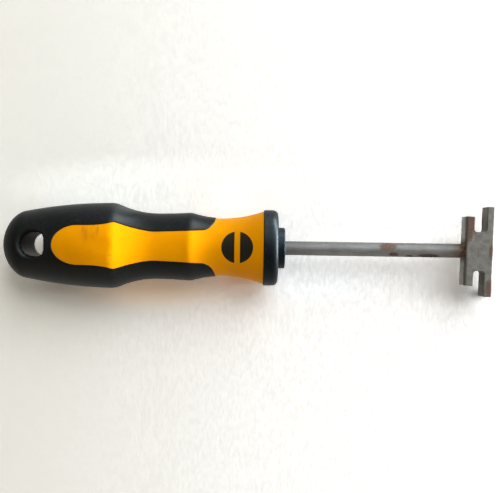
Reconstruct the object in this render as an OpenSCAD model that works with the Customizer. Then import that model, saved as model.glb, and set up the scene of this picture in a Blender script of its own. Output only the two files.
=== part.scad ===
// Spanner screwdriver: a slotted steel plate on a round rod, in a three-layer moulded handle.
// The tool lies along X with its head at +X. It is modelled from the tail end forward,
// then moved so that the origin is on the surface it lies on, under the middle of the tool.

/* [Handle] */
// Length from the tail end to the front face of the collar
handle_len = 116.6; // [112:0.2:125]
// Width across the bulge, its widest place
bulge_w = 35.8; // [33:0.2:40]
// Thickness at the bulge: less than the width, so that the tool doesn't roll
bulge_t = 30.4; // [28:0.2:34]
// Distance from the tail end to the crest of the bulge
bulge_pos = 47.6; // [44:0.1:50]
// Width of the flat on the crest of the bulge, above and below, on which the tool lies still
rest_w = 6; // [4:0.5:9]
// Width where the rounded tail runs into the flanks
tail_w = 28.4; // [26:0.2:31]
// Distance from the tail end to that place
tail_pos = 10; // [8:0.5:13]
// Length of the rounding at the tail end
tail_round = 9; // [7:0.5:11]
// Width across the waist
waist_w = 27.4; // [25:0.2:28]
// Distance from the tail end to the waist
waist_pos = 65; // [62:0.5:69]
// Width across the finger stop
stop_w = 28.6; // [28:0.2:31]
// Distance from the tail end to the finger stop
stop_pos = 79; // [77:0.5:82]
// Width across the neck
neck_w = 24.5; // [23.5:0.1:26]
// Distance from the tail end to the neck
neck_pos = 92; // [91:0.5:95]

/* [Collar and nose] */
// Width of the flare of the body, where it meets the collar
flare_w = 31.1; // [28:0.1:32]
// Width of the collar, which stands a little proud of the flare
collar_w = 32.3; // [32.1:0.1:34]
// Length of the collar along the tool
collar_len = 6.2; // [5.5:0.1:9]
// Radius of its front edge
collar_round = 2.2; // [1:0.1:3]
// Wall of the collar around the spigot of the body
collar_wall = 3; // [2:0.1:3.4]
// Wall of the collar in front of the spigot
collar_front = 1.6; // [1:0.1:2.4]
// Diameter of the nose
nose_d = 17.5; // [16:0.1:20]
// Length of the nose in front of the collar
nose_len = 2.9; // [1.5:0.1:5]
// Radius of the nose's front edge
nose_round = 0.6; // [0.2:0.1:1.2]

/* [Grip] */
// Wall of the soft grip over the hard body
grip_wall = 2.4; // [1.8:0.1:3]
// Distance from the tail end to the rear end of the bare panel
panel_pos = 23.3; // [22.5:0.1:26]
// Length of the panel's rounded rear end
panel_round = 10.5; // [8:0.5:12]
// Width of the panel behind the bulge
panel_w = 16.4; // [14:0.2:18]
// Width of the panel at the bulge
panel_bulge_w = 19.4; // [17:0.2:21]
// How far in front of the crest of the bulge the panel is widest
panel_lag = 1; // [0:0.1:2]
// Width of the panel at the waist
panel_waist_w = 12; // [10:0.2:13]
// Width of the panel at the finger stop
panel_stop_w = 13.6; // [12:0.2:15]
// Distance from the tail end to the tips of the side strips
strip_pos = 90; // [88:0.5:93]
// Radius of the tips of the side strips
strip_round = 5.5; // [4.5:0.1:6]
// Diameter of the hanging hole
hang_d = 10; // [8:0.2:11]
// Distance from the tail end to the hanging hole
hang_pos = 14.6; // [13.5:0.1:15]
// Length of the straight part of the hanging hole
hang_land = 19; // [15:0.5:20]
// Angle of its flared mouths to its axis
hang_flare = 25; // [15:1:30]

/* [Core] */
// Diameter of the core's barrel
core_d = 14; // [13:0.2:15]
// Length of core behind the end of the rod
core_tail = 6; // [4:0.5:8]
// Width across the two keys that stop the core turning in the body
key_span = 18.4; // [17:0.2:19]
// Thickness of a key
key_t = 3; // [2:0.2:4]
// Length of a key
key_len = 26; // [20:1:32]
// Distance from the rear end of the core to the keys
key_inset = 20; // [19:0.5:24]
// Width of a ring groove that stops the core sliding in the body
groove_w = 2.5; // [1.5:0.1:3]
// Depth of a ring groove
groove_depth = 1.2; // [0.6:0.1:1.4]
// Distance from the rear end of the core to the first groove, and from it to the second
groove_pitch = 6; // [4.5:0.5:8]

/* [Rod] */
// Diameter of the rod
shaft_d = 6; // [5:0.1:7]
// Free length between the nose and the head
shaft_reach = 76.4; // [50:0.2:150]
// Length inside the handle
shaft_embed = 62; // [56:1:66]
// Width across the pressed wings
wing_span = 9.4; // [8:0.2:11]
// Thickness of the wings
wing_t = 2.2; // [1.6:0.1:3]
// Length of the wings
wing_len = 8; // [5:0.5:12]
// Distance from the end of the rod to the wings
wing_inset = 3; // [1:0.5:5]

/* [Head] */
// Thickness of the plate
plate_t = 8; // [7.8:0.1:10]
// Width of the short prongs beside the rod, at the wide slot
short_prong_w = 3.5; // [2.5:0.1:5]
// Width of the long prongs, at the wide slot
long_prong_w = 2.9; // [2:0.1:4]
// Width of the wide slot
wide_slot = 5.2; // [4.6:0.1:7]
// Width of the narrow slot, on the same centre line
narrow_slot = 4.5; // [4.4:0.1:6]
// Solid length between the two slots
web_len = 16.6; // [12:0.2:20]
// Length of the plate over the short prongs
short_bar_len = 29.4; // [26:0.2:32]
// Length of the plate over the long prongs
long_bar_len = 38.2; // [34:0.2:44]
// Radius in the corners of the slots
slot_round = 1.2; // [0.6:0.1:1.8]
// Turn of the plate out of square to the rod, as it was brazed, in degrees
plate_lean = 1.6; // [0:0.2:3]
// Leg of the braze fillet between the rod and the plate
braze_leg = 0.9; // [0.4:0.1:0.9]

/* [Hidden] */
// Number of steps in a full turn
round_fn = 240;
// Step of the drawn arcs, in degrees
arc_step = 15;
// Overshoot of a cut past the face it opens
cut = 1;

// The handle's section is an oval of this thickness for its width, which the two flats cut to bulge_t
oval = bulge_t / sqrt(pow(bulge_w, 2) - pow(rest_w, 2));
flare_pos = handle_len - collar_len;
nose_pos = handle_len + nose_len;
head_pos = nose_pos + shaft_reach;
shaft_pos = nose_pos - shaft_embed;
core_pos = shaft_pos - core_tail;
head_w = short_prong_w + wide_slot + long_prong_w;
slot_x = short_prong_w + wide_slot / 2;
tool_len = head_pos + head_w * cos(plate_lean) + long_bar_len / 2 * sin(plate_lean);
spigot_r = collar_w / 2 - collar_wall;
eye_r = hang_d / 2 + grip_wall;
// How far the rod and its fillet are drawn past the middle of the joint, until the leaning plate cuts them
lean_reach = shaft_d * tan(plate_lean);

// The places that the side curves of the handle run between: [distance from the tail end, half width]
tail = [tail_pos, tail_w / 2];
bulge = [bulge_pos, bulge_w / 2];
waist = [waist_pos, waist_w / 2];
stop = [stop_pos, stop_w / 2];
neck = [neck_pos, neck_w / 2];
flare = [flare_pos, flare_w / 2];

// The same for the edge of the bare panel
panel_start = [panel_pos + panel_round, panel_w / 2];
panel_bulge = [bulge_pos + panel_lag, panel_bulge_w / 2];
panel_waist = [waist_pos, panel_waist_w / 2];
panel_stop = [strip_pos - strip_round, panel_stop_w / 2];

// A curve that is level at place a and leaves it with the given power until it meets place b
function bow(u, a, b, power = 2) = a[1] + (b[1] - a[1]) * pow((u - a[0]) / (b[0] - a[0]), power);

// A quarter round that rises from 0 at the start to 1 after the given length
function rounded(d, len) = d >= len ? 1 : sqrt(1 - pow(1 - max(d, 0) / len, 2));

function flank(u) =
  u < bulge_pos ? bow(u, bulge, tail)
  : u < waist_pos ? bow(u, waist, bulge)
  : u < stop_pos ? bow(u, waist, stop)
  : u < neck_pos ? bow(u, neck, stop)
  : bow(u, neck, flare);

// Half width of the handle, or of the form that lies the given depth under its surface
function half_width(u, depth = 0) = (flank(u) - depth) * rounded(u - depth, tail_round);

function half_panel(u) =
  u < panel_start[0] ? panel_start[1] * rounded(u - panel_pos, panel_round)
  : u < panel_bulge[0] ? bow(u, panel_start, panel_bulge, 3)
  : u < waist_pos ? bow(u, panel_waist, panel_bulge, 1.6)
  : bow(u, panel_waist, panel_stop, 1);

// Evenly spaced values from a up to, but without, b
function steps(a, b, n) = [for (i = [0 : n - 1]) a + (b - a) * i / n];

// Values over the given length that crowd together at its start, as a rounded end needs
function crowded(len, n) = [for (i = [0 : n - 1]) len * (1 - cos(90 * i / n))];

function arc(centre, r, from, to) =
  [for (a = [from : arc_step : to]) centre + r * [cos(a), sin(a)]];

function handle_places(depth) = concat(
  [for (d = crowded(tail_round, 7)) depth + d],
  steps(depth + tail_round, bulge_pos, 9),
  steps(bulge_pos, waist_pos, 7),
  steps(waist_pos, stop_pos, 4),
  steps(stop_pos, neck_pos, 5),
  steps(neck_pos, flare_pos, 6),
  [flare_pos]
);

panel_places = concat(
  [for (d = crowded(panel_round, 6)) panel_pos + d],
  steps(panel_start[0], panel_bulge[0], 4),
  steps(panel_bulge[0], waist_pos, 6),
  steps(waist_pos, panel_stop[0], 4)
);

// Stands a shape that was drawn along Z on the tool's axis
module along_axis() {
  rotate([0, 90, 0]) children();
}

// A solid turned about the tool's axis from [radius, distance] points
module turned(points) {
  along_axis() rotate_extrude($fn = round_fn) polygon(points);
}

// The same in two halves, flattened to the handle's oval section
module turned_oval(points) {
  for (side = [0, 1])
    mirror([0, side, 0]) scale([1, 1, oval])
      along_axis() rotate_extrude(angle = 180, $fn = round_fn) polygon(points);
}

module in_place() {
  translate([-tool_len / 2, 0, bulge_t / 2]) children();
}

module handle_form(depth = 0) {
  turned_oval(concat([for (u = handle_places(depth)) [half_width(u, depth), u]], [[0, flare_pos]]));
}

// Everything that the grip leaves bare: the panel and the front of the handle, as one upright block
module bare_block(height) {
  side = concat(
    [for (u = panel_places) [u, half_panel(u)]],
    [for (a = [0 : arc_step : 90])
      panel_stop + [strip_round * sin(a), strip_tip_rise() * (1 - cos(a))]],
    [[strip_pos, bulge_w], [handle_len + cut, bulge_w]]
  );
  back = [for (i = [len(side) - 1 : -1 : 1]) [side[i][0], -side[i][1]]];
  linear_extrude(height, center = true) polygon(concat(side, back));
}

// How far the edge of a strip swings out over its rounded tip
function strip_tip_rise() = half_width(strip_pos) - panel_stop[1];

// The hanging hole's place, as a round bar through the tail
module hang_bar(r) {
  translate([hang_pos, 0, 0]) cylinder(h = 2 * bulge_w, r = r, center = true, $fn = round_fn);
}

module hang_mouth() {
  rise = bulge_t / 2;
  translate([hang_pos, 0, hang_land / 2])
    cylinder(h = rise, r1 = hang_d / 2, r2 = hang_d / 2 + rise * tan(hang_flare), $fn = round_fn);
}

// The hard form under the grip, with its eye for the hanging hole
module tongue() {
  difference() {
    handle_form(grip_wall);
    hang_bar(eye_r);
  }
}

module shaft_form() {
  translate([shaft_pos, 0, 0])
    along_axis() cylinder(h = shaft_embed + shaft_reach + lean_reach, d = shaft_d, $fn = round_fn);
  translate([shaft_pos + wing_inset + wing_len / 2, 0, 0])
    cube([wing_len, wing_span, wing_t], center = true);
}

module core_form() {
  groove_r = core_d / 2 - groove_depth;
  difference() {
    turned(concat(
      [[0, core_pos], [core_d / 2, core_pos], [core_d / 2, handle_len], [nose_d / 2, handle_len]],
      arc([nose_d / 2 - nose_round, nose_pos - nose_round], nose_round, 0, 90),
      [[0, nose_pos]]
    ));
    for (i = [1, 2])
      turned([
        [groove_r, core_pos + i * groove_pitch],
        [core_d, core_pos + i * groove_pitch],
        [core_d, core_pos + i * groove_pitch + groove_w],
        [groove_r, core_pos + i * groove_pitch + groove_w]
      ]);
  }
  translate([core_pos + key_inset, -key_span / 2, -key_t / 2]) cube([key_len, key_span, key_t]);
}

// One slot of the head, open towards +Y, with rounded inner corners
module slot_area(w) {
  run = long_bar_len;
  floor_y = web_len / 2;
  translate([-w / 2, floor_y + slot_round]) square([w, run]);
  translate([-w / 2 + slot_round, floor_y]) square([w - 2 * slot_round, run]);
  for (side = [-1, 1])
    translate([side * (w / 2 - slot_round), floor_y + slot_round]) circle(slot_round, $fn = round_fn);
}

module plate_form() {
  translate([head_pos, 0, -plate_t / 2]) rotate(-plate_lean) linear_extrude(plate_t)
    difference() {
      union() {
        translate([0, -short_bar_len / 2]) square([slot_x, short_bar_len]);
        translate([slot_x, -long_bar_len / 2]) square([head_w - slot_x, long_bar_len]);
      }
      translate([slot_x, 0]) slot_area(wide_slot);
      translate([slot_x, 0]) mirror([0, 1]) slot_area(narrow_slot);
    }
}

module shaft() {
  color("#7d7d79") in_place() difference() {
    shaft_form();
    plate_form();
  }
}

module head_plate() {
  color("#77756e") in_place() plate_form();
}

module braze_fillet() {
  shaft_r = shaft_d / 2;
  hollow = arc([shaft_r + braze_leg, head_pos - braze_leg], braze_leg, 90, 180);
  end_pos = head_pos + lean_reach;
  color("#6c5442") in_place() difference() {
    turned(concat([[shaft_r, end_pos], [shaft_r + braze_leg, end_pos]], hollow));
    plate_form();
  }
}

module core() {
  color("#212b34") in_place() difference() {
    core_form();
    shaft_form();
  }
}

module body() {
  color("#e29300") in_place() difference() {
    union() {
      tongue();
      intersection() {
        handle_form();
        bare_block(bulge_t);
      }
      turned_oval([
        [0, flare_pos - cut], [spigot_r, flare_pos - cut],
        [spigot_r, handle_len - collar_front], [0, handle_len - collar_front]
      ]);
    }
    core_form();
  }
}

module grip() {
  color("#1d1e1c") in_place() difference() {
    handle_form();
    tongue();
    bare_block(2 * bulge_w);
    hang_bar(hang_d / 2);
    hang_mouth();
    mirror([0, 0, 1]) hang_mouth();
  }
}

module collar() {
  collar_r = collar_w / 2;
  color("#272c30") in_place() difference() {
    turned_oval(concat(
      [[0, handle_len - collar_front], [spigot_r, handle_len - collar_front], [spigot_r, flare_pos]],
      [[collar_r, flare_pos]],
      arc([collar_r - collar_round, handle_len - collar_round], collar_round, 0, 90),
      [[0, handle_len]]
    ));
    core_form();
  }
}

shaft();
head_plate();
braze_fillet();
core();
body();
grip();
collar();
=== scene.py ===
# %% [markdown]
# # A spanner screwdriver, dressed for the camera
#
# The solid model gives every piece its place and size. This lesson rebuilds the visible surfaces over it in
# finer detail, gives each one a finish made from nodes, and sets up the camera and the light of the
# photograph. Lengths on the tool are millimetres until a mesh is made; those in the room are metres.

import math

import bmesh
import bpy
import numpy as np
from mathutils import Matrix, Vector


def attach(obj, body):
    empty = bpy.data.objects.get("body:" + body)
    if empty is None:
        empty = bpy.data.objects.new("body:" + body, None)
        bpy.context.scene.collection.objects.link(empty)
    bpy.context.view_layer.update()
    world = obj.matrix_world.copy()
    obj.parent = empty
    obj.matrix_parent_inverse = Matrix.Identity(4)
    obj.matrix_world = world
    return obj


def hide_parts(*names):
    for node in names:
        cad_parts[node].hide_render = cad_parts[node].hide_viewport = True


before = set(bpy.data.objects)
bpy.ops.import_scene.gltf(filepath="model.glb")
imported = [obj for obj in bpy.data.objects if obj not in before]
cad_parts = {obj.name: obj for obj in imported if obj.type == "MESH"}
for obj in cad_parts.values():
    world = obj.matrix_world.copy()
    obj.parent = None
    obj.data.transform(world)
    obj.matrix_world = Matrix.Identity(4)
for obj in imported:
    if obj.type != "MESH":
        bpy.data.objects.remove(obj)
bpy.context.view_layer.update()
print("solid pieces:", sorted(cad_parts))

# %% [markdown]
# ## The camera
#
# The photograph was taken from straight above, quite near, so the ends of the tool lean outwards in it.
# The lens and the height come from that lean. The camera is turned a little, because the tool lies
# slightly askew in the picture.

# %% Camera
MM = 0.001
TOOL_LEN = 208.029
AXIS_HEIGHT = 15.2
CAMERA_ABOVE_AXIS = 317.0
CAMERA_ASIDE = (0.69, 0.45)
CAMERA_TURN = math.radians(0.9)


def along(u):
    """Row-frame x, in millimetres, of a place that lies u millimetres from the tail end."""
    return u - TOOL_LEN / 2


lens = bpy.data.cameras.new("camera")
lens.sensor_width = 36.0
lens.lens = 53.3
lens.clip_start = 0.01
camera = bpy.data.objects.new("camera", lens)
camera.location = Vector((*CAMERA_ASIDE, AXIS_HEIGHT + CAMERA_ABOVE_AXIS)) * MM
camera.rotation_euler = (0, 0, CAMERA_TURN)
bpy.context.collection.objects.link(camera)
bpy.context.scene.camera = camera
print("camera height in mm:", round(camera.location.z / MM))

# %% [markdown]
# ## A short hand for node materials
#
# Every finish here is a Principled shader with a few noises and masks on Object coordinates. A small class
# keeps the node work readable: each method adds a node or two and returns the output socket. Coordinates
# are scaled to millimetres first, so that the size of a grain can be read straight from its scale.


# %% Finish: adds nodes to one material
def fill(tree, node, inputs):
    """Sets the given inputs of a node, or links them where the value is a socket."""
    for socket, value in inputs.items():
        if isinstance(value, bpy.types.NodeSocket):
            tree.links.new(value, node.inputs[socket])
        else:
            node.inputs[socket].default_value = value


def add_node(tree, kind, inputs, **settings):
    node = tree.nodes.new(kind)
    for key, value in settings.items():
        setattr(node, key, value)
    fill(tree, node, inputs)
    return node.outputs


class Finish:
    def __init__(self, name, **settings):
        self.material = bpy.data.materials.new(name)
        self.material.use_nodes = True
        self.tree = self.material.node_tree
        self.shader = self.tree.nodes["Principled BSDF"]
        self.set(**settings)
        self.place = self.vector("SCALE", self.add("TexCoord", {})["Object"], scale=1 / MM)

    def add(self, kind, inputs, **settings):
        return add_node(self.tree, "ShaderNode" + kind, inputs, **settings)

    def set(self, **sockets):
        fill(self.tree, self.shader, {name.replace("_", " "): value for name, value in sockets.items()})

    def vector(self, operation, a, b=(0, 0, 0), scale=1.0):
        made = self.add("VectorMath", {0: a, 1: b, 3: scale}, operation=operation)
        return made[1 if operation == "LENGTH" else 0]

    def math(self, operation, a, b=0.0, c=0.0):
        return self.add("Math", {0: a, 1: b, 2: c}, operation=operation)[0]

    def times(self, a, b):
        return self.math("MULTIPLY", a, b)

    def parts(self, vector):
        return self.add("SeparateXYZ", {0: vector})

    def noise(self, scale, detail=3.0, roughness=0.5, stretch=None, shift=0.0):
        """Noise with the given number of waves a millimetre, finer or coarser along the axes of stretch."""
        moved = self.vector("ADD", self.place, (shift, shift * 1.7, shift * 2.3))
        if stretch:
            moved = self.vector("MULTIPLY", moved, stretch)
        inputs = {0: moved, "Scale": scale, "Detail": detail, "Roughness": roughness}
        return self.add("TexNoise", inputs)["Fac"]

    def cells(self, scale):
        return self.add("TexVoronoi", {0: self.place, "Scale": scale})["Distance"]

    def ease(self, value, low, high, start=0.0, end=1.0):
        """Smooth step from start, where value is low, to end, where it is high."""
        inputs = {0: value, 1: low, 2: high, 3: start, 4: end}
        return self.add("MapRange", inputs, interpolation_type="SMOOTHSTEP")[0]

    def mix(self, share, a, b):
        return self.add("Mix", {0: share, 6: a, 7: b}, data_type="RGBA")[2]

    def plan_distance(self, u):
        """Distance, seen from above, from the point of the axis that lies u from the tail end."""
        offset = self.vector("SUBTRACT", self.place, (along(u), 0, 0))
        return self.vector("LENGTH", self.vector("MULTIPLY", offset, (1, 1, 0)))

    def reach(self, centre, size):
        """0 at the centre of an oval, 1 at its rim, and more outside."""
        offset = self.vector("SUBTRACT", self.place, centre)
        return self.vector("LENGTH", self.vector("DIVIDE", offset, size))

    def spot(self, centre, size, edge=0.5):
        """1 inside an oval blot round centre, falling to 0 at its rim, which starts at the given share."""
        return self.ease(self.reach(centre, size), edge, 1.0, 1.0, 0.0)

    def bump(self, height, depth, below=None):
        """Relief of the given depth in millimetres, laid over another relief if one is given."""
        inputs = {"Strength": 1.0, "Distance": depth * MM, "Height": height}
        if below is not None:
            inputs["Normal"] = below
        return self.add("Bump", inputs)[0]


def shade(r, g, b):
    return (r, g, b, 1.0)


print("finish helper ready")

# %% [markdown]
# ## Yellow plastic
#
# The hard body is a warm yellow moulding that has been handled for years. Its colour is almost even, with
# a faint cloudiness, a fine moulded grain, a few long scuffs and some brown smudges near the bulge. One
# blot of the same brown on the upper side of the waist is painted shade. On the neck it carries a printed
# sign: the plain picture of a slotted screw head, drawn here with two distances.

# %% Yellow plastic
yellow = Finish("yellow_plastic", Specular_IOR_Level=0.32, Specular_Tint=(1.0, 0.76, 0.03, 1.0))
cloud = yellow.noise(0.07, 3.0)
speck = yellow.noise(1.6, 2.0, shift=40)
colour = yellow.mix(yellow.ease(cloud, 0.3, 0.7), shade(0.80, 0.288, 0.0), shade(0.88, 0.328, 0.0))
colour = yellow.mix(yellow.ease(speck, 0.5, 0.85, 0.0, 0.22), colour, shade(0.92, 0.37, 0.0))

scuff = yellow.noise(2.2, 2.0, stretch=(0.06, 1.0, 1.0), shift=7)
scuff_mask = yellow.ease(scuff, 0.62, 0.74, 0.0, 0.2)
colour = yellow.mix(scuff_mask, colour, shade(0.55, 0.20, 0.012))

blotch = yellow.ease(yellow.noise(0.5, 2.0, 0.5, stretch=(1.0, 0.2, 1.0), shift=3), 0.2, 0.6)
smudges_and_painted_shade = [
    ((36.0, 6.6, 28.5), (0.8, 3.4, 6.0)),
    ((37.2, 4.4, 28.5), (2.6, 5.4, 6.0)),
    ((42.2, 6.2, 28.5), (0.9, 3.8, 6.0)),
    ((40.4, 5.0, 28.5), (2.4, 4.6, 6.0)),
    ((47.6, -4.0, 28.5), (1.5, 1.2, 6.0)),
    # painted shade on the upper side of the waist
    ((65.4, 6.8, 26.0), (5.5, 2.4, 6.0)),
]
for (u, y, z), size in smudges_and_painted_shade:
    grime_and_painted_shade = yellow.times(yellow.spot((along(u), y, z), size, 0.0), blotch)
    colour = yellow.mix(yellow.times(grime_and_painted_shade, 0.55), colour, shade(0.40, 0.13, 0.01))
print("yellow plastic:", len(yellow.tree.nodes), "nodes")

# %% Printed sign on the neck
SIGN_PLACE = 99.4
SIGN_RADIUS = 6.6
SIGN_SLOT = 2.3
SIGN_BLUR = 0.12
in_body = yellow.parts(yellow.place)
sign_reach = yellow.plan_distance(SIGN_PLACE)
disc = yellow.ease(sign_reach, SIGN_RADIUS - SIGN_BLUR, SIGN_RADIUS + SIGN_BLUR, 1.0, 0.0)
from_slot = yellow.math("ABSOLUTE", yellow.math("SUBTRACT", in_body[0], along(SIGN_PLACE)))
slot = yellow.ease(from_slot, SIGN_SLOT / 2 - SIGN_BLUR, SIGN_SLOT / 2 + SIGN_BLUR)
upper = yellow.math("GREATER_THAN", in_body[2], AXIS_HEIGHT)
ink = yellow.times(yellow.times(disc, slot), upper)
worn = yellow.ease(yellow.noise(1.3, 4.0, 0.7, shift=21), 0.3, 0.42, 0.96, 1.0)
colour = yellow.mix(yellow.times(ink, worn), colour, shade(0.006, 0.009, 0.014))
grain = yellow.bump(yellow.noise(3.2, 2.0), 0.012)
grain = yellow.bump(yellow.noise(0.35, 2.0, shift=11), 0.035, grain)
yellow.set(Base_Color=colour, Normal=grain)
yellow.set(Roughness=yellow.ease(yellow.noise(0.5, 4.0, shift=5), 0.3, 0.7, 0.48, 0.6))
print("sign of", 2 * SIGN_RADIUS, "mm across")

# %% [markdown]
# ## Soft black grip
#
# The grip is a thermoplastic rubber: matt, almost black, with a fine eroded texture from its mould, about
# two grains to the millimetre, and a little pale dust in it that only just shows. One slope of the bulge is
# painted paler, a painted sheen where light strikes it, and the end of the tail shines less. The mouth of
# the hanging hole is rougher, and one side of its wall is polished by use.

# %% Black rubber
HOLE_PLACE = 14.6
HOLE_RADIUS = 5.0
rubber = Finish("black_rubber", Specular_Tint=(0.84, 0.96, 1.0, 1.0))
dust = rubber.ease(rubber.noise(1.1, 5.0, 0.7), 0.45, 0.75)
haze = rubber.ease(rubber.noise(0.06, 2.0, shift=15), 0.35, 0.7)
colour = rubber.mix(haze, shade(0.002, 0.0023, 0.0021), shade(0.0036, 0.0039, 0.0037))
colour = rubber.mix(rubber.times(dust, 0.6), colour, shade(0.014, 0.0154, 0.015))
# painted sheen: a paler patch on the far slope of the bulge, where light strikes it, broken up by the dust
painted_sheen = rubber.spot((along(51.5), 15.5, 19.0), (9.0, 3.6, 9.0), 0.2)
painted_sheen = rubber.times(painted_sheen, rubber.ease(dust, 0.0, 1.0, 0.6, 0.9))
colour = rubber.mix(painted_sheen, colour, shade(0.029, 0.031, 0.031))
pores = rubber.bump(rubber.noise(2.4, 3.0, 0.6), 0.03)
pores = rubber.bump(rubber.cells(2.0), 0.008, pores)
rubber.set(Base_Color=colour, Normal=pores)
in_grip = rubber.parts(rubber.place)
rubber.set(Specular_IOR_Level=rubber.ease(in_grip[0], along(0.5), along(13.0), 0.03, 0.2))
from_hole = rubber.plan_distance(HOLE_PLACE)
matt = rubber.ease(from_hole, HOLE_RADIUS + 1.6, HOLE_RADIUS + 4.0, 1.4, 1.0)
polish = rubber.ease(in_grip[1], -3.5, 2.0, 0.45, 0.8)
polish = rubber.ease(from_hole, HOLE_RADIUS + 0.05, HOLE_RADIUS + 0.6, polish, 1.0)
matt = rubber.times(matt, polish)
rubber.set(Roughness=rubber.times(matt, rubber.ease(dust, 0.0, 1.0, 0.36, 0.5)))
print("black rubber:", len(rubber.tree.nodes), "nodes")

# %% [markdown]
# ## Collar and nose plastics
#
# The collar is a harder black plastic with a blue cast and a smoother skin, so its rounded front edge takes
# a bright line from the window. The nose is the same kind of plastic, smoother and more blue.

# %% Collar and nose plastics
black = Finish("black_plastic", Specular_IOR_Level=0.2, Specular_Tint=(0.78, 0.93, 1.0, 1.0))
mottle = black.ease(black.noise(0.5, 4.0), 0.3, 0.7)
colour = black.mix(mottle, shade(0.0008, 0.0013, 0.0018), shade(0.0016, 0.0024, 0.0032))
rub = black.ease(black.noise(1.6, 3.0, stretch=(1, 0.35, 0.35), shift=9), 0.58, 0.72)
colour = black.mix(black.times(rub, 0.35), colour, shade(0.014, 0.018, 0.021))
black.set(Base_Color=colour, Normal=black.bump(black.noise(2.6, 3.0), 0.008))
black.set(Roughness=black.ease(rub, 0.0, 1.0, 0.40, 0.50))

navy = Finish("navy_plastic", Specular_IOR_Level=0.2, Specular_Tint=(0.7, 0.88, 1.0, 1.0))
mottle = navy.ease(navy.noise(0.6, 3.0), 0.3, 0.7)
colour = navy.mix(mottle, shade(0.0008, 0.0018, 0.0032), shade(0.0016, 0.003, 0.005))
navy.set(Base_Color=colour, Normal=navy.bump(navy.noise(3.5, 2.0), 0.008))
navy.set(Roughness=navy.ease(navy.noise(1.2, 3.0, shift=4), 0.3, 0.7, 0.40, 0.50))
print("collar and nose plastics ready")

# %% [markdown]
# ## Drawn steel rod
#
# The rod is bright drawn steel that has gone dull. Drawing leaves fine lines along it, rust has started in
# a few places near the head, and the brazing has burnt its last few millimetres brown. Rust isn't metal any
# more, so the same mask that changes the colour also lowers Metallic.

# %% Drawn steel
HEAD_PLACE = 195.9
PLATE_LEAN = math.radians(1.6)
steel = Finish("rod_steel")
drawn = steel.noise(4.0, 3.0, 0.6, stretch=(0.03, 1.0, 1.0))
patch = steel.noise(0.25, 4.0, 0.6, stretch=(0.5, 1.0, 1.0), shift=31)
streaks = steel.ease(drawn, 0.3, 0.7)
colour = steel.mix(streaks, shade(0.176, 0.176, 0.171), shade(0.25, 0.25, 0.243))
colour = steel.mix(steel.ease(patch, 0.5, 0.7, 0.0, 0.5), colour, shade(0.145, 0.142, 0.132))
along_rod = steel.parts(steel.place)[0]
# painted shade: the rod is darker next to the nose
painted_shade_near_nose = steel.ease(along_rod, along(122), along(140), 0.35, 0.0)
colour = steel.mix(painted_shade_near_nose, colour, shade(0.09, 0.09, 0.088))

flakes = steel.ease(steel.noise(1.5, 5.0, 0.7, shift=2), 0.30, 0.48)
BROWN_RUST = shade(0.135, 0.072, 0.046)
DARK_RUST = shade(0.055, 0.022, 0.016)
rust_spots = [
    ((163.4, 1.5, 17.8), (4.6, 2.9, 3.4), BROWN_RUST),
    ((150.0, 2.6, 14.0), (2.5, 1.4, 2.4), BROWN_RUST),
    ((186.0, 1.2, 12.8), (4.0, 2.6, 1.6), BROWN_RUST),
    ((165.9, -1.9, 17.2), (2.7, 1.4, 2.4), DARK_RUST),
    ((172.6, -2.7, 16.2), (2.2, 1.0, 2.6), DARK_RUST),
    ((180.6, -2.4, 16.6), (6.0, 1.5, 3.4), DARK_RUST),
]
rust = 0.0
for (u, y, z), size, tint in rust_spots:
    place = steel.times(steel.spot((along(u), y, z), size, 0.5), flakes)
    colour = steel.mix(steel.times(place, 0.9), colour, tint)
    rust = steel.math("MAXIMUM", rust, place)

from_head = steel.math("SUBTRACT", along(HEAD_PLACE), along_rod)
wander = steel.math("MULTIPLY_ADD", steel.noise(0.8, 3.0, shift=17), 3.0, -1.5)
from_head = steel.math("ADD", from_head, wander)
straw = steel.ease(from_head, 2.6, 7.0, 0.75, 0.0)
burnt = steel.ease(from_head, 0.6, 2.8, 0.9, 0.0)
colour = steel.mix(straw, colour, shade(0.15, 0.105, 0.066))
colour = steel.mix(burnt, colour, shade(0.065, 0.036, 0.024))
dull = steel.math("MAXIMUM", rust, burnt)
lines = steel.bump(drawn, 0.01)
lines = steel.bump(rust, 0.06, lines)
steel.set(Base_Color=colour, Normal=lines)
steel.set(Metallic=steel.ease(dull, 0.0, 1.0, 0.55, 0.2))
steel.set(Roughness=steel.ease(dull, 0.0, 1.0, 0.55, 0.85))
print("drawn steel:", len(steel.tree.nodes), "nodes")

# %% [markdown]
# ## Cut steel plate
#
# The head is cut from thick plate. Its faces are grey and dull, mottled by handling, with sawing lines on
# the walls and red-brown rust on one short prong, along the far edge and at the tip of one long prong. The
# rust spots sit where the photograph shows them, and a fine noise breaks their rims. The sawn wall on the
# side of the rod is painted paler than the faces, a painted light, with a dark line along its upper edge.

# %% Cut steel
cut = Finish("plate_steel")
mottle = cut.noise(0.45, 5.0, 0.65)
fine = cut.noise(2.4, 4.0, 0.7, shift=13)
clouded = cut.ease(mottle, 0.3, 0.7)
colour = cut.mix(clouded, shade(0.135, 0.13, 0.113), shade(0.205, 0.198, 0.173))
colour = cut.mix(cut.ease(fine, 0.55, 0.8, 0.0, 0.45), colour, shade(0.10, 0.093, 0.078))

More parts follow.
